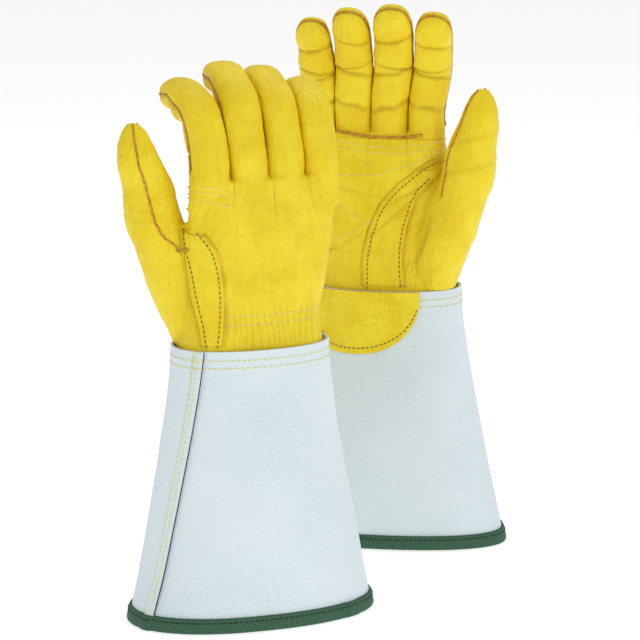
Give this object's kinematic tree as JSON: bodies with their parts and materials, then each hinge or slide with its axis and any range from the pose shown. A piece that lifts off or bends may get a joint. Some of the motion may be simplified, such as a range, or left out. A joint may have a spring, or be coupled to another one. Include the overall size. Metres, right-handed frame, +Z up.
{
  "type": "electrical insulating gloves",
  "caption": "Pair of long-cuff leather lineman's gloves standing on their hems, with grain-leather hands, suede gauntlets and a taped hem; wrists, knuckles and thumbs bend.",
  "frame": {"origin": "floor point under the middle of the pair's bounding box", "axes": "+Z up from the hems to the fingertips, +X across the pair towards the far glove's thumb side, +Y from the near glove to the far glove"},
  "size_m": [0.2612, 0.2966, 0.3984],
  "materials": {
    "grain_leather": "semi-matt dyed grain cowhide, small pebble and soft creases",
    "patch_leather": "smoother dyed grain cowhide, cut and sewn flat",
    "raw_edge": "matt cut edge of dyed hide",
    "cuff_suede": "pearl-white split leather with a short nap",
    "hem_tape": "green woven tape folded over the hem",
    "pale_thread": "pale yellow sewing thread",
    "dark_thread": "dark green sewing thread",
    "elastic_webbing": "woven elastic, hidden inside the wrist"
  },
  "bodies": {
    "far_cuff": {"far_cuff_back_panel": "cuff_suede", "far_cuff_palm_panel": "cuff_suede", "far_cuff_hem_binding": "hem_tape", "far_cuff_pulse_patch": "patch_leather", "far_cuff_top_stitching": "pale_thread", "far_binding_stitching": "dark_thread"},
    "far_hand": {"far_back_panel": "grain_leather", "far_palm_panel": "grain_leather", "far_thumb_root": "grain_leather", "far_thumb_strap": "grain_leather", "far_palm_patch": "patch_leather", "far_wrist_elastic": "elastic_webbing", "far_wrist_shirring_stitching": "pale_thread"},
    "far_thumb": {"far_thumb_outer": "grain_leather", "far_thumb_inner": "grain_leather", "far_thumb_welt": "raw_edge"},
    "far_little_finger": {"far_little_finger_front": "grain_leather", "far_little_finger_back": "grain_leather", "far_little_finger_welt": "raw_edge"},
    "far_ring_finger": {"far_ring_finger_front": "grain_leather", "far_ring_finger_back": "grain_leather", "far_ring_finger_welt": "raw_edge"},
    "far_middle_finger": {"far_middle_finger_front": "grain_leather", "far_middle_finger_back": "grain_leather", "far_middle_finger_welt": "raw_edge"},
    "far_index_finger": {"far_index_finger_front": "grain_leather", "far_index_finger_back": "grain_leather", "far_index_finger_welt": "raw_edge"},
    "near_cuff": {"near_cuff_back_panel": "cuff_suede", "near_cuff_palm_panel": "cuff_suede", "near_cuff_hem_binding": "hem_tape", "near_cuff_pulse_patch": "patch_leather", "near_cuff_top_stitching": "pale_thread", "near_binding_stitching": "dark_thread"},
    "near_hand": {"near_back_panel": "grain_leather", "near_palm_panel": "grain_leather", "near_thumb_root": "grain_leather", "near_thumb_strap": "grain_leather", "near_palm_patch": "patch_leather", "near_wrist_elastic": "elastic_webbing", "near_wrist_shirring_stitching": "pale_thread"},
    "near_thumb": {"near_thumb_outer": "grain_leather", "near_thumb_inner": "grain_leather", "near_thumb_welt": "raw_edge"},
    "near_little_finger": {"near_little_finger_front": "grain_leather", "near_little_finger_back": "grain_leather", "near_little_finger_welt": "raw_edge"},
    "near_ring_finger": {"near_ring_finger_front": "grain_leather", "near_ring_finger_back": "grain_leather", "near_ring_finger_welt": "raw_edge"},
    "near_middle_finger": {"near_middle_finger_front": "grain_leather", "near_middle_finger_back": "grain_leather", "near_middle_finger_welt": "raw_edge"},
    "near_index_finger": {"near_index_finger_front": "grain_leather", "near_index_finger_back": "grain_leather", "near_index_finger_welt": "raw_edge"}
  },
  "joints": [
    {"name": "far_wrist", "type": "hinge", "parent": "far_cuff", "child": "far_hand", "pos_m": [0.04195, 0.10577, 0.1915], "axis": [0.9945, -0.1045, 0], "range_deg": [-18, 20]},
    {"name": "far_thumb_spread", "type": "hinge", "parent": "far_hand", "child": "far_thumb", "pos_m": [0.09609, 0.08252, 0.262], "axis": [0.4695, 0.8829, 0], "range_deg": [-5, 14]},
    {"name": "far_little_knuckle", "type": "hinge", "parent": "far_hand", "child": "far_little_finger", "pos_m": [-0.00806, 0.11304, 0.313], "axis": [0.9945, -0.1045, 0], "range_deg": [-8, 35]},
    {"name": "far_ring_knuckle", "type": "hinge", "parent": "far_hand", "child": "far_ring_finger", "pos_m": [0.01755, 0.11034, 0.313], "axis": [0.9945, -0.1045, 0], "range_deg": [-8, 35]},
    {"name": "far_middle_knuckle", "type": "hinge", "parent": "far_hand", "child": "far_middle_finger", "pos_m": [0.0444, 0.10752, 0.313], "axis": [0.9945, -0.1045, 0], "range_deg": [-8, 35]},
    {"name": "far_index_knuckle", "type": "hinge", "parent": "far_hand", "child": "far_index_finger", "pos_m": [0.07125, 0.1047, 0.313], "axis": [0.9945, -0.1045, 0], "range_deg": [-8, 35]},
    {"name": "near_glove_lift", "type": "slide", "parent": "far_cuff", "child": "near_cuff", "axis": [0, 0, 1], "range_m": [0, 0.42]},
    {"name": "near_wrist", "type": "hinge", "parent": "near_cuff", "child": "near_hand", "pos_m": [-0.04222, -0.08862, 0.1915], "axis": [-0.9135, -0.4067, 0], "range_deg": [-18, 20]},
    {"name": "near_thumb_spread", "type": "hinge", "parent": "near_hand", "child": "near_thumb", "pos_m": [-0.10072, -0.09555, 0.262], "axis": [0.0349, -0.9994, 0], "range_deg": [-5, 14]},
    {"name": "near_little_knuckle", "type": "hinge", "parent": "near_hand", "child": "near_little_finger", "pos_m": [0.00473, -0.06991, 0.313], "axis": [-0.9135, -0.4067, 0], "range_deg": [-24, 35]},
    {"name": "near_ring_knuckle", "type": "hinge", "parent": "near_hand", "child": "near_ring_finger", "pos_m": [-0.01879, -0.08038, 0.313], "axis": [-0.9135, -0.4067, 0], "range_deg": [-24, 35]},
    {"name": "near_middle_knuckle", "type": "hinge", "parent": "near_hand", "child": "near_middle_finger", "pos_m": [-0.04346, -0.09137, 0.313], "axis": [-0.9135, -0.4067, 0], "range_deg": [-24, 35]},
    {"name": "near_index_knuckle", "type": "hinge", "parent": "near_hand", "child": "near_index_finger", "pos_m": [-0.06812, -0.10235, 0.313], "axis": [-0.9135, -0.4067, 0], "range_deg": [-24, 35]}
  ]
}
